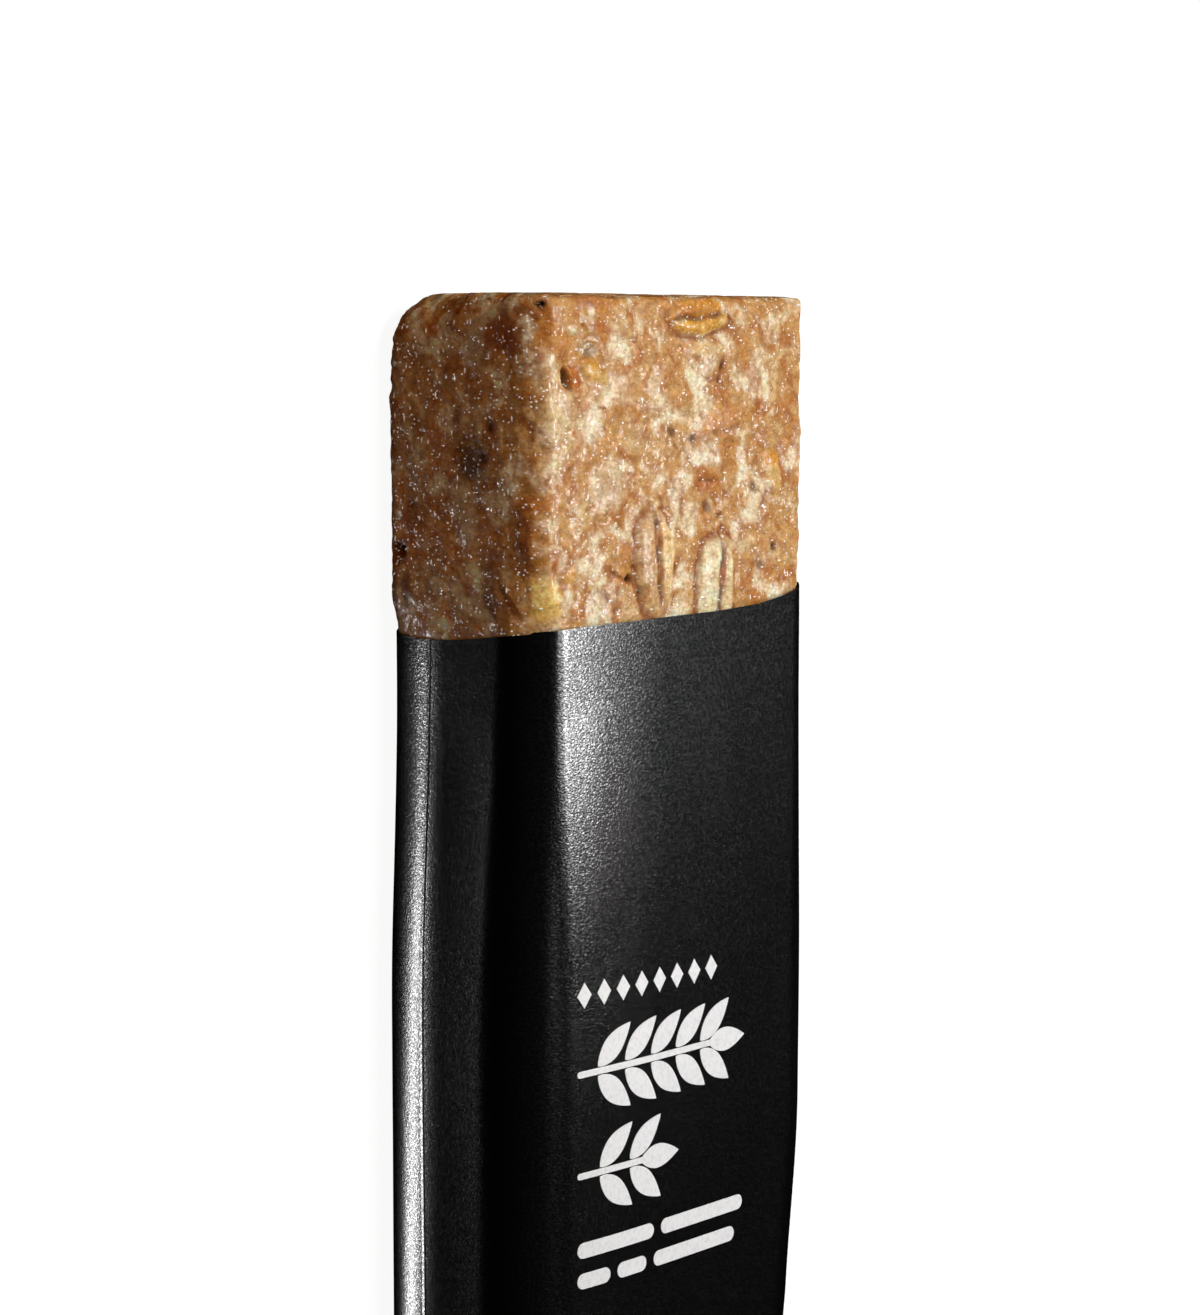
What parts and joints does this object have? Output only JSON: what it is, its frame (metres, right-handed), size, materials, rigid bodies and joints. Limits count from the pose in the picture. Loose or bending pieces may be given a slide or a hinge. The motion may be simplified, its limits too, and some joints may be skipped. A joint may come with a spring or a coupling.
{
  "type": "granola bar",
  "caption": "Pressed oat and puffed rice snack bar: a rounded rectangular block standing out of the cut end of a tight black flow-wrap film sleeve with a crimped far end.",
  "frame": {"origin": "middle of the bounding box in X and Y, at the height that the part rests on", "axes": "+X along the bar, from its bare end towards the crimped end of the wrapper; +Y across the broad face; +Z out of the front of the pack"},
  "size_m": [0.117, 0.0526, 0.018],
  "materials": {
    "oat_and_rice": "sticky, slightly glossy cereal",
    "black_film": "satin with a fine grain"
  },
  "bodies": {
    "root": {"bar": "oat_and_rice", "wrapper": "black_film"}
  },
  "joints": []
}
